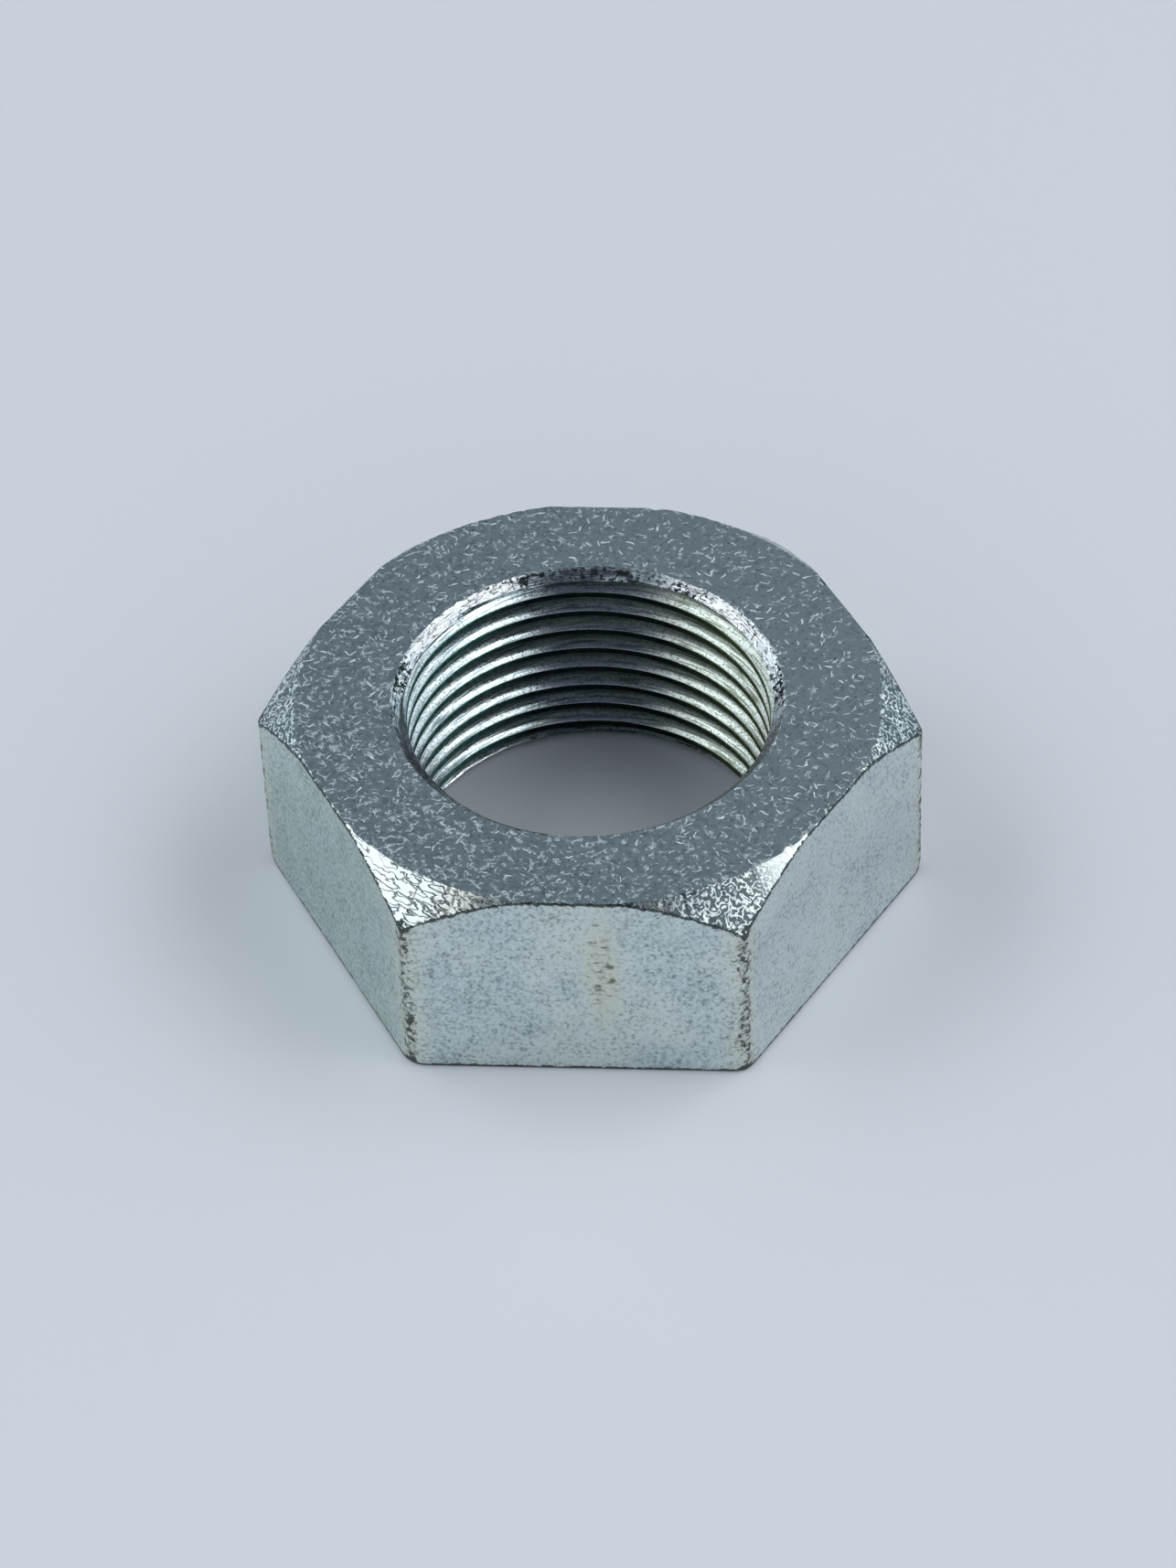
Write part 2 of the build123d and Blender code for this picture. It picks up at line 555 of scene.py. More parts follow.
def scatterMarks(tree, place, m):
    # short bent strokes within a spread of X, one to a cell: the mark, and its own chance number
    wobble = {"Vector": place, "Scale": 1 / m["length"], "Detail": 1.0}
    wobble = addNode(tree, "ShaderNodeTexNoise", wobble)
    wobble = {0: wobble.outputs["Color"], 1: (0.5, 0.5, 0.5)}
    wobble = addNode(tree, "ShaderNodeVectorMath", wobble, operation="SUBTRACT")
    wobble = {0: wobble, "Scale": m["length"] * m["bend"]}
    wobble = addNode(tree, "ShaderNodeVectorMath", wobble, operation="SCALE")
    bent = addNode(tree, "ShaderNodeVectorMath", {0: place, 1: wobble}, operation="ADD")
    cells = {"Vector": bent, "Scale": 1 / m["spacing"], "Randomness": 1.0}
    cells = addNode(tree, "ShaderNodeTexVoronoi", cells, voronoi_dimensions="2D")
    chance = addNode(tree, "ShaderNodeSeparateColor", {0: cells.outputs["Color"]})
    offset = {0: bent, 1: cells.outputs["Position"]}
    offset = addNode(tree, "ShaderNodeVectorMath", offset, operation="SUBTRACT")
    angle = {0: chance.outputs["Red"], 1: m["spread"], 2: -m["spread"] / 2}
    angle = addNode(tree, "ShaderNodeMath", angle, operation="MULTIPLY_ADD")
    turned = {"Vector": offset, "Angle": angle}
    turned = addNode(tree, "ShaderNodeVectorRotate", turned, rotation_type="Z_AXIS")
    sizes = (2 / m["length"], 2 / m["width"], 0.0)
    turned = addNode(tree, "ShaderNodeVectorMath", {0: turned, 1: sizes}, operation="MULTIPLY")
    reach = addNode(tree, "ShaderNodeVectorMath", {0: turned}, operation="LENGTH")
    mark = {"Value": reach.outputs["Value"], "From Min": 1.0, "From Max": 0.55}
    mark = addNode(tree, "ShaderNodeMapRange", mark, interpolation_type="SMOOTHSTEP")
    kept = {0: chance.outputs["Green"], 1: m["share"]}
    kept = addNode(tree, "ShaderNodeMath", kept, operation="LESS_THAN")
    mark = addNode(tree, "ShaderNodeMath", {0: mark, 1: kept}, operation="MULTIPLY")
    return mark, chance.outputs["Blue"]


faceFinish = {
    "ground": ("#adbfc1", "#cddadb"),
    "fleck": "#f4f8f9",
    "pit": "#6b7c81",
    "noises": {  # size in mm, detail, roughness
        "grain": (0.30, 2.5, 0.6),
        "mottle": (1.4, 3.0, 0.5),
        "cut": (0.55, 2.0, 0.6),  # cuts the worms into short lengths
    },
    "lean": (-0.0016, -0.0012, 0.0),  # for each mm: more scuffed towards -X and -Y
    "leanShade": -3.0,  # and darker by this much of it
    "wormSpacing": 0.64,  # mm
    "wormWidth": 0.075,  # of the noise's range
    "wormStrength": 0.50,
    # sizes in mm, the share of the cells that hold a mark, and the spread of angles in radians
    "bold": {
        "spacing": 0.95,
        "length": 0.80,
        "width": 0.15,
        "bend": 0.9,  # of the length
        "share": 0.60,
        "spread": 2.6,
    },
    "roughness": (0.36, 0.5),  # the ground and the flecks, and so below
    "metallic": (1.0, 0.3),
    "relief": 0.04 * mm,
}


def zincPlatedFace(f):
    # Zinc over a rolled and sheared face: slate grey where it mirrors the dark, soft grain, and small
    # bent scuffs that catch light from every side.
    material, tree, place, noises = startFinish("zincPlatedFace", f["noises"])
    grain = noises["grain"]
    lean = addNode(tree, "ShaderNodeVectorMath", {0: place, 1: f["lean"]}, operation="DOT_PRODUCT")
    lean = lean.outputs["Value"]
    mottle = {0: noises["mottle"], 1: 0.6, 2: grain}
    mottle = addNode(tree, "ShaderNodeMath", mottle, operation="MULTIPLY_ADD")
    mottle = {0: lean, 1: f["leanShade"], 2: mottle}
    mottle = addNode(tree, "ShaderNodeMath", mottle, operation="MULTIPLY_ADD")
    mottle = addNode(tree, "ShaderNodeMapRange", {"Value": mottle, "From Min": 0.56, "From Max": 0.94})
    colour = {"Factor": mottle, "A": linearColour(f["ground"][0]), "B": linearColour(f["ground"][1])}
    colour = addNode(tree, "ShaderNodeMix", colour, data_type="RGBA")
    # worms are the level lines of a noise, cut into short lengths by a second one
    worm = {"Vector": place, "Scale": 1 / f["wormSpacing"], "Detail": 1.0, "Distortion": 0.5}
    worm = levelLines(tree, worm)
    worm = {"Value": worm, "From Min": f["wormWidth"], "From Max": f["wormWidth"] * 0.3}
    worm = addNode(tree, "ShaderNodeMapRange", worm, interpolation_type="SMOOTHSTEP")
    cut = addNode(tree, "ShaderNodeMath", {0: noises["cut"], 1: lean}, operation="ADD")
    cut = {"Value": cut, "From Min": 0.48, "From Max": 0.70, "To Max": f["wormStrength"]}
    cut = addNode(tree, "ShaderNodeMapRange", cut, interpolation_type="SMOOTHSTEP")
    worm = addNode(tree, "ShaderNodeMath", {0: worm, 1: cut}, operation="MULTIPLY")
    bold, chance = scatterMarks(tree, place, f["bold"])
    chance = addNode(tree, "ShaderNodeMath", {0: chance, 1: 1.5}, operation="POWER")
    bold = addNode(tree, "ShaderNodeMath", {0: bold, 1: chance}, operation="MULTIPLY")
    flecks = addNode(tree, "ShaderNodeMath", {0: worm, 1: bold}, operation="MAXIMUM")
    pits = {"Value": grain, "From Min": 0.42, "From Max": 0.30, "To Max": 0.5}
    pits = addNode(tree, "ShaderNodeMapRange", pits, interpolation_type="SMOOTHSTEP")
    for share, tint in ((pits, "pit"), (flecks, "fleck")):
        layer = {"Factor": share, "A": colour, "B": linearColour(f[tint])}
        colour = addNode(tree, "ShaderNodeMix", layer, data_type="RGBA")
    roughness = {"Value": flecks, "To Min": f["roughness"][0], "To Max": f["roughness"][1]}
    roughness = addNode(tree, "ShaderNodeMapRange", roughness)
    metallic = {"Value": flecks, "To Min": f["metallic"][0], "To Max": f["metallic"][1]}
    metallic = addNode(tree, "ShaderNodeMapRange", metallic)
    relief = addNode(tree, "ShaderNodeMath", {0: grain, 1: 0.35, 2: flecks}, operation="MULTIPLY_ADD")
    endFinish(tree, colour, roughness, metallic, relief, f["relief"])
    return material


chamferFinish = {
    "metal": "#f0f8f6",
    "dull": "#a0abac",
    "beige": "#8a938f",
    "warm": "#dfe3da",
    "crack": "#3f4a48",
    "crevice": "#5d6c70",
    "noises": {  # size in mm, detail, roughness
        "patch": (1.2, 2.0, 0.5),
        "grit": (0.42, 3.0, 0.6),
        "crumbs": (0.5, 2.0, 0.6),
    },
    "crackWidth": (0.04, 0.155),  # of the noise's range, where they are faint and where they are broad
    "curls": 26.0,  # how closely the curled lines lie round a lump
    # places and sizes in mm
    "radius": 25.5,  # of the arc the patterns are laid along, from -Y towards +X
    "flake": (1.35, 0.36),  # along the arc and up the slope
    "lump": (0.63, 0.47),
    "crackedCorner": (-15.0, -23.8, 16.0),
    "crackedReach": (8.0, 14.0),  # where the cracks start to fade into curled lines, and where they end
    "crackAlong": (-18.0, -11.0),  # along the arc, for the two crack widths
    "warmAlong": (-13.5, -9.0),
    "bareAlong": 20.0,  # where the scale is rubbed nearly bare
    "bareReach": (1.8, 5.4),
    "frontReach": (7.5, 3.0),  # to each side of the front flat's middle
    "roughness": 0.25,
    "relief": 0.04 * mm,
}


def zincPlatedChamfer(f):
    # Zinc over a turned chamfer with scale left in it: white with dark wavy cracks that run with the
    # turning on one corner, curled dark lines round pale lumps on the others, greyer near the front.
    material, tree, place, noises = startFinish("zincPlatedChamfer", f["noises"])
    split = addNode(tree, "ShaderNodeSeparateXYZ", {0: place})
    ahead = addNode(tree, "ShaderNodeMath", {0: split.outputs["Y"], 1: -1.0}, operation="MULTIPLY")
    turn = addNode(tree, "ShaderNodeMath", {0: split.outputs["X"], 1: ahead}, operation="ARCTAN2")
    along = addNode(tree, "ShaderNodeMath", {0: turn, 1: f["radius"]}, operation="MULTIPLY")
    wrapped = addNode(tree, "ShaderNodeCombineXYZ", {"X": along, "Y": split.outputs["Z"]})
    patch = noises["patch"]

    # wavy cracks are level lines of a noise, from faint at one end of the corner to broad at the other
    flake = {0: wrapped, 1: (*f["flake"], 1.0)}
    flake = addNode(tree, "ShaderNodeVectorMath", flake, operation="DIVIDE")
    flake = {"Vector": flake, "Scale": 1.0, "Detail": 1.5, "Distortion": 0.3}
    flake = levelLines(tree, flake)
    (start, end), (faint, broad) = f["crackAlong"], f["crackWidth"]
    width = {"Value": along, "From Min": start, "From Max": end, "To Min": faint, "To Max": broad}
    width = addNode(tree, "ShaderNodeMapRange", width)
    width = addNode(tree, "ShaderNodeMath", {0: width, 1: patch}, operation="MULTIPLY")
    crack = addNode(tree, "ShaderNodeMapRange", {"Value": flake, "From Min": width, "From Max": 0.0})
    away = {0: place, 1: f["crackedCorner"]}
    away = addNode(tree, "ShaderNodeVectorMath", away, operation="DISTANCE")
    start, end = f["crackedReach"]
    coarse = {"Value": away.outputs["Value"], "From Min": start, "From Max": end}
    coarse = addNode(tree, "ShaderNodeMapRange", coarse, interpolation_type="SMOOTHSTEP")
    calm = addNode(tree, "ShaderNodeMath", {0: 1.0, 1: coarse}, operation="SUBTRACT")
    crack = addNode(tree, "ShaderNodeMath", {0: crack, 1: calm}, operation="MULTIPLY")

    # curled lines round the lumps, and the lumps' rubbed tops
    lump = {0: wrapped, 1: (*f["lump"], 1.0)}
    lump = addNode(tree, "ShaderNodeVectorMath", lump, operation="DIVIDE")
    lump = {"Vector": lump, "Scale": 1.0, "Detail": 1.5, "Roughness": 0.5}
    lump = addNode(tree, "ShaderNodeTexNoise", lump)
    curl = addNode(tree, "ShaderNodeMath", {0: lump, 1: f["curls"]}, operation="MULTIPLY")
    curl = addNode(tree, "ShaderNodeMath", {0: curl}, operation="SINE")
    curl = addNode(tree, "ShaderNodeMath", {0: patch, 1: 1.6, 2: curl}, operation="MULTIPLY_ADD")
    crevice = {"Value": curl, "From Min": 1.20, "From Max": 0.30}
    crevice = addNode(tree, "ShaderNodeMapRange", crevice, interpolation_type="SMOOTHSTEP")
    dulled = addNode(tree, "ShaderNodeMapRange", {"Value": curl, "From Min": 1.9, "From Max": 1.05})
    bare = addNode(tree, "ShaderNodeMath", {0: along, 1: f["bareAlong"]}, operation="SUBTRACT")
    bare = addNode(tree, "ShaderNodeMath", {0: bare}, operation="ABSOLUTE")
    start, end = f["bareReach"]
    bare = {"Value": bare, "From Min": start, "From Max": end, "To Min": 0.15, "To Max": 1.0}
    bare = addNode(tree, "ShaderNodeMapRange", bare, interpolation_type="SMOOTHSTEP")
    for limit in (coarse, bare):
        crevice = addNode(tree, "ShaderNodeMath", {0: crevice, 1: limit}, operation="MULTIPLY")
        dulled = addNode(tree, "ShaderNodeMath", {0: dulled, 1: limit}, operation="MULTIPLY")

    # greyer and calmer towards the middle of the front flat, with pale glints and dark grit
    front = addNode(tree, "ShaderNodeMath", {0: along}, operation="ABSOLUTE")
    front = addNode(tree, "ShaderNodeMath", {0: patch, 1: -6.0, 2: front}, operation="MULTIPLY_ADD")
    start, end = f["frontReach"]
    front = {"Value": front, "From Min": start, "From Max": end}
    front = addNode(tree, "ShaderNodeMapRange", front, interpolation_type="SMOOTHSTEP")
    glint = {"Value": noises["grit"], "From Min": 0.56, "From Max": 0.66, "To Max": 0.8}
    glint = addNode(tree, "ShaderNodeMapRange", glint)
    glint = addNode(tree, "ShaderNodeMath", {0: glint, 1: front}, operation="MULTIPLY")
    grit = {"Value": noises["grit"], "From Min": 0.46, "From Max": 0.36}
    grit = addNode(tree, "ShaderNodeMapRange", grit)
    grit = addNode(tree, "ShaderNodeMath", {0: grit, 1: front}, operation="MULTIPLY")
    start, end = f["warmAlong"]
    warm = addNode(tree, "ShaderNodeMapRange", {"Value": along, "From Min": start, "From Max": end})
    warm = addNode(tree, "ShaderNodeMath", {0: warm, 1: calm}, operation="MULTIPLY")
    colour = linearColour(f["metal"])
    for share, tint in ((warm, "warm"), (dulled, "dull"), (front, "beige"), (glint, "metal")):
        layer = {"Factor": share, "A": colour, "B": linearColour(f[tint])}
        colour = addNode(tree, "ShaderNodeMix", layer, data_type="RGBA")
    dark = addNode(tree, "ShaderNodeMath", {0: crack, 1: crevice}, operation="MAXIMUM")
    softer = addNode(tree, "ShaderNodeMapRange", {"Value": front, "To Min": 1.0, "To Max": 0.8})
    dark = addNode(tree, "ShaderNodeMath", {0: dark, 1: softer}, operation="MULTIPLY")
    dark = addNode(tree, "ShaderNodeMath", {0: dark, 1: grit}, operation="MAXIMUM")
    shade = {"Factor": coarse, "A": linearColour(f["crack"]), "B": linearColour(f["crevice"])}
    shade = addNode(tree, "ShaderNodeMix", shade, data_type="RGBA")
    colour = addNode(tree, "ShaderNodeMix", {"Factor": dark, "A": colour, "B": shade}, data_type="RGBA")

    # dark crumbs along the borders with the flats, and most at the corners
    borderGap = addNode(tree, "ShaderNodeAttribute", {}, attribute_name="borderGap").outputs["Fac"]
    cornerGap = addNode(tree, "ShaderNodeAttribute", {}, attribute_name="cornerGap").outputs["Fac"]
    near = {"Value": borderGap, "From Min": 0.35, "From Max": 0.02, "To Max": 0.46}
    near = addNode(tree, "ShaderNodeMapRange", near)
    tip = addNode(tree, "ShaderNodeMath", {0: cornerGap, 1: borderGap}, operation="ADD")
    tip = {"Value": tip, "From Min": 1.8, "From Max": 0.4, "To Max": 0.38}
    tip = addNode(tree, "ShaderNodeMapRange", tip)
    near = addNode(tree, "ShaderNodeMath", {0: near, 1: tip}, operation="MAXIMUM")
    near = addNode(tree, "ShaderNodeMath", {0: near, 1: noises["crumbs"]}, operation="ADD")
    worn = {"Value": near, "From Min": 0.74, "From Max": 0.88}
    worn = addNode(tree, "ShaderNodeMapRange", worn, interpolation_type="SMOOTHSTEP")
    colour = {"Factor": worn, "A": colour, "B": linearColour(f["crack"])}
    colour = addNode(tree, "ShaderNodeMix", colour, data_type="RGBA")
    relief = addNode(tree, "ShaderNodeMath", {0: 1.0, 1: dark}, operation="SUBTRACT")
    endFinish(tree, colour, f["roughness"], 1.0, relief, f["relief"])
    return material


flatFinish = {
    "tints": ("#bdcacc", "#d0d9d1"),
    "cloud": "#a4b5bb",
    "greenSide": "#b7c8bd",
    # painted light on the +X side
    "paintedLightSide": "#dbe2e5",
    "frost": "#dbe4e4",
    "speck": "#536165",
    "edge": "#3f4643",
    "strip": "#d6d8c8",
    "stain": "#6d6d56",
    "noises": {  # size in mm, detail, roughness
        "drift": (7.0, 2.0, 0.5),
        "cloud": (5.0, 1.0, 0.5),
        "grain": (0.30, 3.0, 0.6),
        "patch": (3.0, 2.0, 0.5),
        "crumbs": (0.55, 3.0, 0.75),
    },
    # places and sizes in mm
    "greenFrom": (-10.0, -18.0, 1.0),  # along X, where a tint starts and is full, and its strength
    # the painted light towards +X, the same way
    "lightFrom": (12.5, 15.0, 0.5),
    "stripFrom": (2.4, 0.6, 0.65),  # the same from a corner
    "stainPlace": (2.2, -23.8, 11.5),
    "stainReach": (2.4, 3.0, 9.5),
    "blot": 1.2,
    # how far from the edges they are rubbed, where they are rubbed most, and how strongly
    "wearAndBaseShade": {
        "corner": (1.5, 0.35, 0.31),
        "border": (0.45, 0.0, 0.50),
        # along the base: dark crumbs of wear, partly painted contact shade
        "base": (0.35, 0.0, 0.48),
        "tip": (1.9, 0.5, 0.48),
    },
    "roughness": (0.40, 0.6),  # the plate, and where it is dark
    "relief": 0.02 * mm,
}


def zincPlatedFlat(f):
    # Zinc over cold-drawn hexagon bar: satin and even, faintly blue to faintly green, painted lighter
    # towards +X, with soft dark grain, dark broken lines where the edges have rubbed (along the base
    # partly painted contact shade), and one brown water stain.
    material, tree, place, noises = startFinish("zincPlatedFlat", f["noises"])
    grain = noises["grain"]
    cornerGap = addNode(tree, "ShaderNodeAttribute", {}, attribute_name="cornerGap").outputs["Fac"]
    borderGap = addNode(tree, "ShaderNodeAttribute", {}, attribute_name="borderGap").outputs["Fac"]
    baseGap = addNode(tree, "ShaderNodeAttribute", {}, attribute_name="baseGap").outputs["Fac"]
    drift = {"Value": noises["drift"], "From Min": 0.38, "From Max": 0.62}
    drift = addNode(tree, "ShaderNodeMapRange", drift)
    colour = {"Factor": drift, "A": linearColour(f["tints"][0]), "B": linearColour(f["tints"][1])}
    colour = addNode(tree, "ShaderNodeMix", colour, data_type="RGBA")
    cloud = {"Value": noises["cloud"], "From Min": 0.42, "From Max": 0.64, "To Max": 0.22}
    cloud = addNode(tree, "ShaderNodeMapRange", cloud)

    # a green tint to one side, painted light to the other, and a pale strip beside each corner
    across = addNode(tree, "ShaderNodeSeparateXYZ", {0: place}).outputs["X"]
    sides = []
    for at, name in ((across, "green"), (across, "light"), (cornerGap, "strip")):
        start, end, most = f[name + "From"]
        side = {"Value": at, "From Min": start, "From Max": end, "To Max": most}
        sides.append(addNode(tree, "ShaderNodeMapRange", side, interpolation_type="SMOOTHSTEP"))
    green, light, strip = sides

    # soft grain, and specks that are thicker in some patches than in others
    specks = {0: noises["patch"], 1: -0.22, 2: grain}
    specks = addNode(tree, "ShaderNodeMath", specks, operation="MULTIPLY_ADD")
    frost = {"Value": specks, "From Min": 0.34, "From Max": 0.56, "To Max": 0.8}
    frost = addNode(tree, "ShaderNodeMapRange", frost)
    speck = {"Value": specks, "From Min": 0.39, "From Max": 0.15, "To Max": 0.60}
    speck = addNode(tree, "ShaderNodeMapRange", speck, interpolation_type="SMOOTHSTEP")

    # the stain: an upright run of blots in the middle of one flat
    offset = addNode(tree, "ShaderNodeVectorMath", {0: place, 1: f["stainPlace"]}, operation="SUBTRACT")
    offset = addNode(tree, "ShaderNodeVectorMath", {0: offset, 1: f["stainReach"]}, operation="DIVIDE")
    offset = addNode(tree, "ShaderNodeVectorMath", {0: offset}, operation="LENGTH").outputs["Value"]
    run = {"Value": offset, "From Min": 1.0, "From Max": 0.3}
    run = addNode(tree, "ShaderNodeMapRange", run, interpolation_type="SMOOTHSTEP")
    wash = addNode(tree, "ShaderNodeMath", {0: run, 1: 0.6}, operation="MULTIPLY")
    blot = addNode(tree, "ShaderNodeVectorMath", {0: place, 1: (1.0, 1.0, 2.0)}, operation="MULTIPLY")
    blot = {"Vector": blot, "Scale": 1 / f["blot"], "Detail": 3.5, "Roughness": 0.7}
    blot = addNode(tree, "ShaderNodeTexNoise", blot)
    blot = addNode(tree, "ShaderNodeMath", {0: run, 1: 0.26, 2: blot}, operation="MULTIPLY_ADD")
    blot = {"Value": blot, "From Min": 0.76, "From Max": 0.90, "To Max": 0.9}
    blot = addNode(tree, "ShaderNodeMapRange", blot, interpolation_type="SMOOTHSTEP")

    # rubbed edges: dark crumbs along every edge and most at the corners, and along the base partly
    # painted contact shade
    tipGap = addNode(tree, "ShaderNodeMath", {0: borderGap, 1: baseGap}, operation="MINIMUM")
    tipGap = addNode(tree, "ShaderNodeMath", {0: tipGap, 1: cornerGap}, operation="ADD")
    gaps = {"corner": cornerGap, "border": borderGap, "base": baseGap, "tip": tipGap}
    near = 0.0
    for name, gap in gaps.items():
        reach, full, most = f["wearAndBaseShade"][name]
        wearAndBaseShade = {"Value": gap, "From Min": reach, "From Max": full, "To Max": most}
        wearAndBaseShade = addNode(tree, "ShaderNodeMapRange", wearAndBaseShade)
        near = addNode(tree, "ShaderNodeMath", {0: near, 1: wearAndBaseShade}, operation="MAXIMUM")
    near = addNode(tree, "ShaderNodeMath", {0: near, 1: noises["crumbs"]}, operation="ADD")
    worn = {"Value": near, "From Min": 0.74, "From Max": 0.90, "To Max": 0.92}
    worn = addNode(tree, "ShaderNodeMapRange", worn, interpolation_type="SMOOTHSTEP")

    # each tint goes on over the ones before it
    layers = (
        (green, "greenSide"),
        (light, "paintedLightSide"),
        (cloud, "cloud"),
        (strip, "strip"),
        (frost, "frost"),
        (speck, "speck"),
        (wash, "strip"),
        (blot, "stain"),
        (worn, "edge"),
    )
    for share, tint in layers:
        layer = {"Factor": share, "A": colour, "B": linearColour(f[tint])}
        colour = addNode(tree, "ShaderNodeMix", layer, data_type="RGBA")
    dark = addNode(tree, "ShaderNodeMath", {0: worn, 1: speck}, operation="MAXIMUM")
    relief = addNode(tree, "ShaderNodeMath", {0: grain, 1: 0.6, 2: -0.6}, operation="MULTIPLY_ADD")
    relief = addNode(tree, "ShaderNodeMath", {0: relief, 1: dark}, operation="SUBTRACT")
    roughness = {"Value": dark, "To Min": f["roughness"][0], "To Max": f["roughness"][1]}
    roughness = addNode(tree, "ShaderNodeMapRange", roughness)
    endFinish(tree, colour, roughness, 1.0, relief, f["relief"])
    return material


threadFinish = {
    # shade is the painted shade colour of the roots and crests
    "shade": ("#609c91", "#6c7a50"),  # at -X and at +X, and so for the other pairs
    "score": ("#7d8c90", "#717a6b"),
    "tints": ("#d0dce0", "#c2cbc7"),
    # painted shade, near black, for the front and the back of the bore
    "frontBackShade": "#090a13",
    "grime": "#22302d",
    "lip": "#f2f6fa",
    # the lip's painted shade at the back of the bore
    "backLipShade": "#94a1a7",
    "noises": {  # size in mm, detail, roughness
        "crumbs": (0.45, 4.0, 0.7),
        "drift": (5.0, 2.0, 0.5),
        "mottle": (0.22, 2.0, 0.7),
    },
    # places and sizes in mm
    "streak": (4.0, 4.0, 0.09),  # of each pattern along X, Y and Z
    "hair": (1.4, 1.4, 0.22),
    "frontBackShadeFrom": (12.5, 6.0),  # to each side of the middle, where the painted shade starts and where it is full
    # to each side of the middle, where the lip's painted shade starts and where it is full
    "backLipShadeFrom": (7.5, 4.0),
    "rimFrom": (0.5, 0.1),  # below the face
    "roughness": (0.32, 0.16),  # in the painted shade and on the lit plate
    "sideRoughness": 0.11,  # what +X adds
    "dullRoughness": 0.25,
    "relief": 0.015 * mm,
}


def zincPlatedThread(f):
    # Zinc over a cut thread: glassy bright flanks scored along the helix, painted shade in the roots
    # and on the crests, and torn lips at both countersinks.
    material, tree, place, noises = startFinish("zincPlatedThread", f["noises"])
    crumbs = noises["crumbs"]
    # the rows' share clear of painted shade: roots and crests get the painted shade colour
    unshaded = addNode(tree, "ShaderNodeAttribute", {}, attribute_name="unshaded").outputs["Fac"]
    cone = addNode(tree, "ShaderNodeAttribute", {}, attribute_name="cone").outputs["Fac"]
    crumb = addNode(tree, "ShaderNodeAttribute", {}, attribute_name="crumb").outputs["Fac"]
    streaks = addNode(tree, "ShaderNodeVectorMath", {0: place, 1: f["streak"]}, operation="DIVIDE")
    streaks = {"Vector": streaks, "Scale": 1.0, "Detail": 2.0, "Roughness": 0.6}
    streaks = addNode(tree, "ShaderNodeTexNoise", streaks)
    lit = addNode(tree, "ShaderNodeMath", {0: unshaded, 1: cone}, operation="MAXIMUM")
    lit = addNode(tree, "ShaderNodeMath", {0: streaks, 1: 0.5, 2: lit}, operation="MULTIPLY_ADD")
    lit = addNode(tree, "ShaderNodeMath", {0: crumbs, 1: 0.5, 2: lit}, operation="MULTIPLY_ADD")
    lit = {"Value": lit, "From Min": 0.85, "From Max": 1.15}
    lit = addNode(tree, "ShaderNodeMapRange", lit, interpolation_type="SMOOTHSTEP")

    # torn lip: dark hair lines on the countersink, and crumbs where the tap tore it
    hair = addNode(tree, "ShaderNodeVectorMath", {0: place, 1: f["hair"]}, operation="DIVIDE")
    hair = {"Vector": hair, "Scale": 1.0, "Detail": 2.0, "Distortion": 0.4}
    hair = levelLines(tree, hair)
    hair = {"Value": hair, "From Min": 0.05, "From Max": 0.01, "To Max": 0.55}
    hair = addNode(tree, "ShaderNodeMapRange", hair)
    hair = addNode(tree, "ShaderNodeMath", {0: hair, 1: cone}, operation="MULTIPLY")
    torn = addNode(tree, "ShaderNodeMath", {0: streaks, 1: 0.25, 2: crumbs}, operation="MULTIPLY_ADD")
    torn = addNode(tree, "ShaderNodeMath", {0: crumb, 1: -0.15, 2: torn}, operation="MULTIPLY_ADD")
    split = addNode(tree, "ShaderNodeSeparateXYZ", {0: place})
    start, end = (height / mm - depth for depth in f["rimFrom"])
    nearRim = {"Value": split.outputs["Z"], "From Min": start, "From Max": end, "To Max": 0.06}
    nearRim = addNode(tree, "ShaderNodeMapRange", nearRim)
    torn = addNode(tree, "ShaderNodeMath", {0: torn, 1: nearRim}, operation="SUBTRACT")
    torn = {"Value": torn, "From Min": 0.52, "From Max": 0.44}
    torn = addNode(tree, "ShaderNodeMapRange", torn, interpolation_type="SMOOTHSTEP")
    torn = addNode(tree, "ShaderNodeMath", {0: torn, 1: cone}, operation="MULTIPLY")
    torn = addNode(tree, "ShaderNodeMath", {0: torn, 1: hair}, operation="MAXIMUM")
    kept = addNode(tree, "ShaderNodeMath", {0: 1.0, 1: torn}, operation="SUBTRACT")
    lit = addNode(tree, "ShaderNodeMath", {0: lit, 1: kept}, operation="MULTIPLY")

    # teal to one side, olive to the other
    side = {0: noises["drift"], 1: 16.0, 2: split.outputs["X"]}
    side = addNode(tree, "ShaderNodeMath", side, operation="MULTIPLY_ADD")
    side = addNode(tree, "ShaderNodeMapRange", {"Value": side, "From Min": 0.0, "From Max": 16.0})
    sided = []
    for pair in ("shade", "score", "tints"):
        ends = {"Factor": side, "A": linearColour(f[pair][0]), "B": linearColour(f[pair][1])}
        sided.append(addNode(tree, "ShaderNodeMix", ends, data_type="RGBA"))
    shade, score, tint = sided

    # the painted shade of roots and crests, painted darkest at the front and the back, with grime
    across = addNode(tree, "ShaderNodeMath", {0: split.outputs["X"]}, operation="ABSOLUTE")
    start, end = f["frontBackShadeFrom"]
    frontBackShade = {"Value": across, "From Min": start, "From Max": end, "To Max": 0.97}
    frontBackShade = addNode(tree, "ShaderNodeMapRange", frontBackShade)
    grime = {"Value": crumbs, "From Min": 0.58, "From Max": 0.42, "To Max": 0.6}
    grime = addNode(tree, "ShaderNodeMapRange", grime)
    for share, name in ((frontBackShade, "frontBackShade"), (grime, "grime")):
        layer = {"Factor": share, "A": shade, "B": linearColour(f[name])}
        shade = addNode(tree, "ShaderNodeMix", layer, data_type="RGBA")
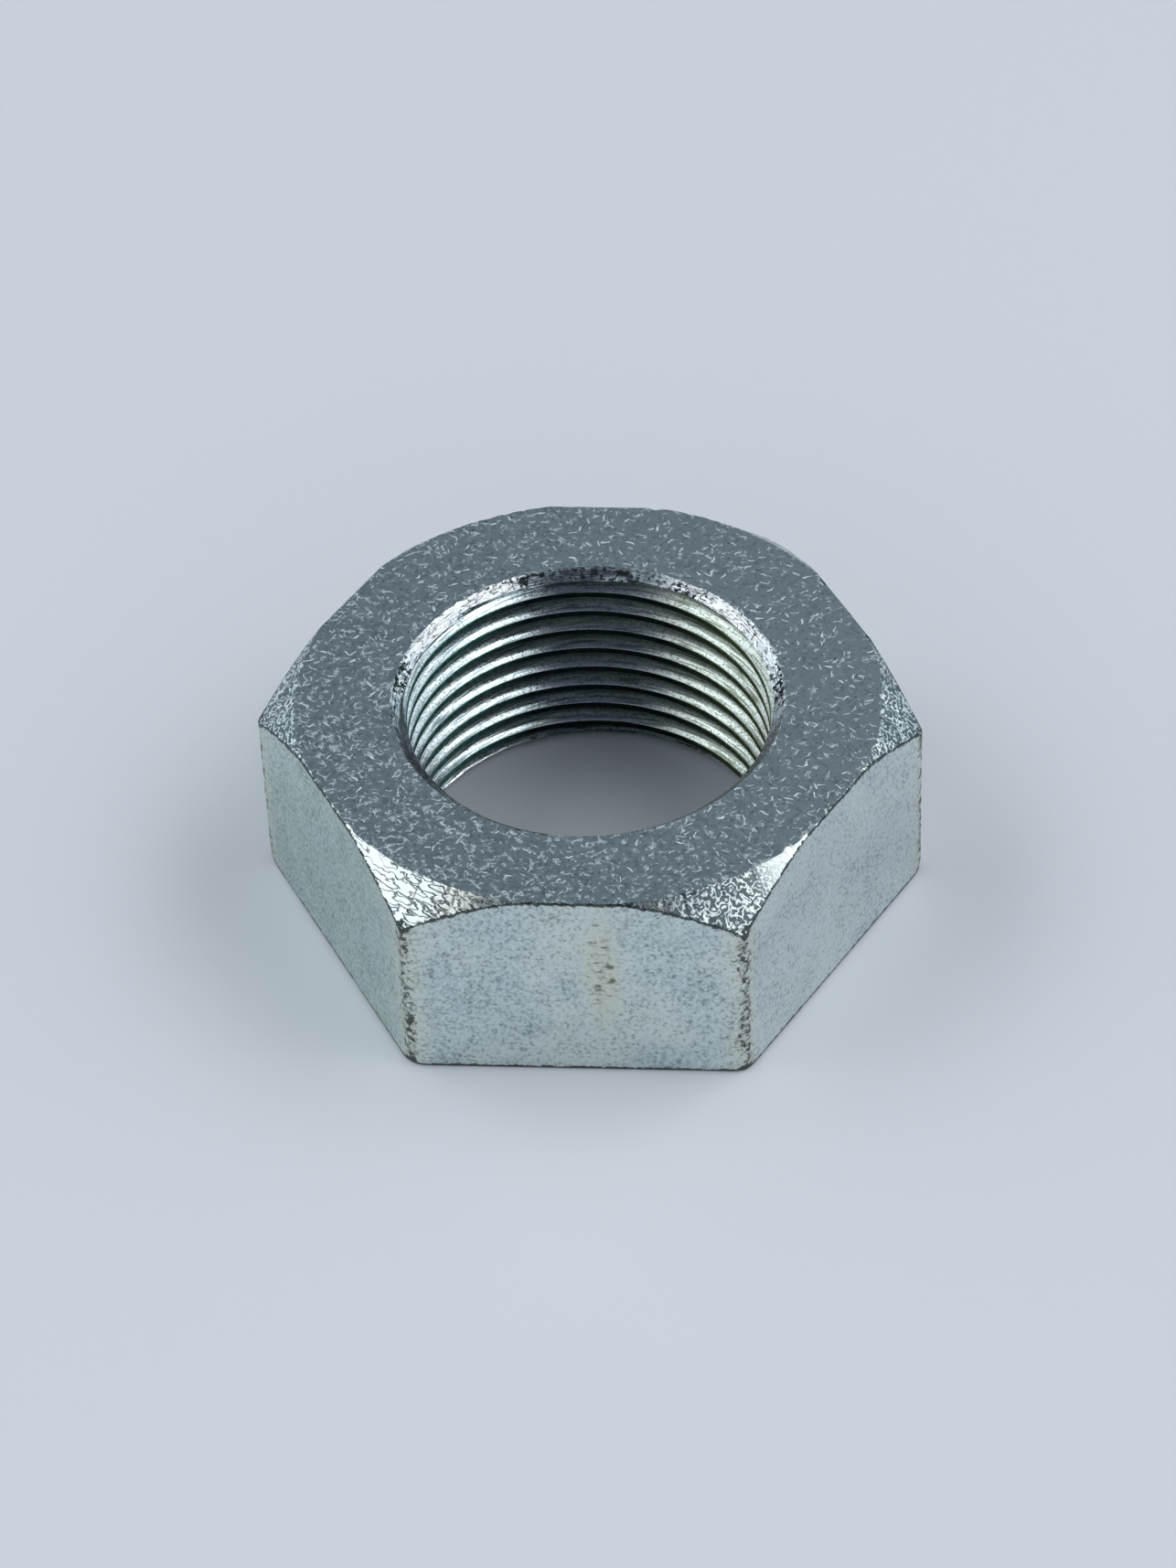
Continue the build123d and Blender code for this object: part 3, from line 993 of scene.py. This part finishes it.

    # the plate, with its lip (painted grey as shade at the back), scores and mottle
    start, end = f["backLipShadeFrom"]
    lip = {"Value": across, "From Min": start, "From Max": end}
    lip = addNode(tree, "ShaderNodeMapRange", lip, interpolation_type="SMOOTHSTEP")
    lip = {"Factor": lip, "A": linearColour(f["lip"]), "B": linearColour(f["backLipShade"])}
    lip = addNode(tree, "ShaderNodeMix", lip, data_type="RGBA")
    # the deeper flank: rougher, and painted darker with the score tint as shade towards the root
    dull = {"Value": unshaded, "From Min": 1.0, "From Max": 0.55, "To Max": 0.65}
    dull = addNode(tree, "ShaderNodeMapRange", dull)
    scores = {"Value": streaks, "From Min": 0.50, "From Max": 0.36}
    scores = addNode(tree, "ShaderNodeMapRange", scores, interpolation_type="SMOOTHSTEP")
    clean = addNode(tree, "ShaderNodeMapRange", {"Value": cone, "To Min": 1.0, "To Max": 0.3})
    scores = addNode(tree, "ShaderNodeMath", {0: scores, 1: dull}, operation="MAXIMUM")
    scores = addNode(tree, "ShaderNodeMath", {0: scores, 1: clean}, operation="MULTIPLY")
    mottle = {"Value": noises["mottle"], "From Min": 0.50, "From Max": 0.34, "To Max": 0.95}
    mottle = addNode(tree, "ShaderNodeMapRange", mottle)
    mottle = addNode(tree, "ShaderNodeMath", {0: mottle, 1: clean}, operation="MULTIPLY")
    for share, over in ((cone, lip), (scores, score), (mottle, score)):
        tint = addNode(tree, "ShaderNodeMix", {"Factor": share, "A": tint, "B": over}, data_type="RGBA")
    colour = addNode(tree, "ShaderNodeMix", {"Factor": lit, "A": shade, "B": tint}, data_type="RGBA")
    colour = {"Factor": torn, "A": colour, "B": linearColour(f["grime"])}
    colour = addNode(tree, "ShaderNodeMix", colour, data_type="RGBA")
    roughness = {"Value": lit, "To Min": f["roughness"][0], "To Max": f["roughness"][1]}
    roughness = addNode(tree, "ShaderNodeMapRange", roughness)
    for share, more in ((side, f["sideRoughness"]), (dull, f["dullRoughness"])):
        rougher = {0: share, 1: more, 2: roughness}
        roughness = addNode(tree, "ShaderNodeMath", rougher, operation="MULTIPLY_ADD")
    relief = addNode(tree, "ShaderNodeMath", {0: streaks, 1: crumbs}, operation="ADD")
    endFinish(tree, colour, roughness, 1.0, relief, f["relief"])
    return material


bearingFinish = {
    "ground": ("#b3bcc0", "#c6ced1"),
    "fleck": "#f1f5f6",
    "ring": 0.25,  # mm
    "marks": {  # the same values as for the face
        "spacing": 0.8,
        "length": 0.5,
        "width": 0.12,
        "bend": 0.9,
        "share": 0.35,
        "spread": 6.28,
    },
    "roughness": 0.36,
    "relief": 0.02 * mm,
}


def zincPlatedBearing(f):
    # Zinc over a faced bearing side: smoother than the top, with the faint rings of the facing cut.
    material, tree, place, _ = startFinish("zincPlatedBearing", {})
    level = {0: place, 1: (1.0, 1.0, 0.0)}
    level = addNode(tree, "ShaderNodeVectorMath", level, operation="MULTIPLY")
    radius = addNode(tree, "ShaderNodeVectorMath", {0: level}, operation="LENGTH").outputs["Value"]
    rings = addNode(tree, "ShaderNodeCombineXYZ", {"X": radius})
    rings = {"Vector": rings, "Scale": 1 / f["ring"], "Detail": 2.0}
    rings = addNode(tree, "ShaderNodeTexNoise", rings)
    ground = {"Factor": rings, "A": linearColour(f["ground"][0]), "B": linearColour(f["ground"][1])}
    ground = addNode(tree, "ShaderNodeMix", ground, data_type="RGBA")
    marks, chance = scatterMarks(tree, place, f["marks"])
    marks = addNode(tree, "ShaderNodeMath", {0: marks, 1: chance}, operation="MULTIPLY")
    colour = {"Factor": marks, "A": ground, "B": linearColour(f["fleck"])}
    colour = addNode(tree, "ShaderNodeMix", colour, data_type="RGBA")
    relief = addNode(tree, "ShaderNodeMath", {0: rings, 1: 0.5, 2: marks}, operation="MULTIPLY_ADD")
    endFinish(tree, colour, f["roughness"], 1.0, relief, f["relief"])
    return material


finishes = {
    "face": zincPlatedFace(faceFinish),
    "chamfer": zincPlatedChamfer(chamferFinish),
    "flat": zincPlatedFlat(flatFinish),
    "thread": zincPlatedThread(threadFinish),
    "bearing": zincPlatedBearing(bearingFinish),
}
for name in finishNames:
    nut.data.materials.append(finishes[name])
print("finishes made")

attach(nut, "root")
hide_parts("axle_nut")
